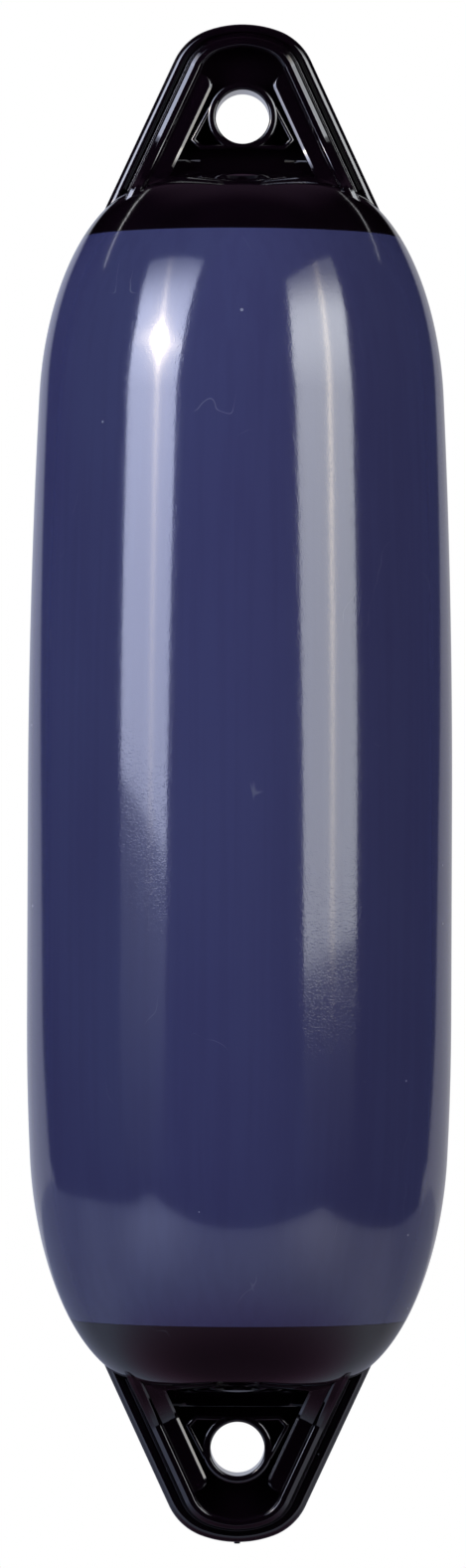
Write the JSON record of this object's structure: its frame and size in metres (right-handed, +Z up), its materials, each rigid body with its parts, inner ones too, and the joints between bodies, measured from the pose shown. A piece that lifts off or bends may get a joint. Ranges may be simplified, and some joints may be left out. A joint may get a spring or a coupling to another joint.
{
  "type": "pneumatic fender",
  "caption": "Inflated cylindrical boat fender with a domed end moulding and a ribbed rope eye at each end, hung from its top eye.",
  "frame": {"origin": "centre of the top rope eye's hole", "axes": "+Z up along the fender's length, the rope holes run along Y, the eyes lie in the XZ plane, and the valve is at +Y"},
  "size_m": [0.2, 0.2, 0.7155],
  "materials": {
    "blue_pvc": "glossy soft PVC, navy blue, with a faint orange-peel texture",
    "black_pvc": "glossy moulded PVC, black",
    "black_rubber": "matt moulded rubber, black",
    "black_nylon": "satin moulded nylon, black"
  },
  "bodies": {
    "root": {"body_shell": "blue_pvc", "top_end": "black_pvc", "bottom_end": "black_pvc", "valve_bush": "black_rubber", "valve_washer": "black_rubber", "valve_screw": "black_nylon"}
  },
  "joints": []
}
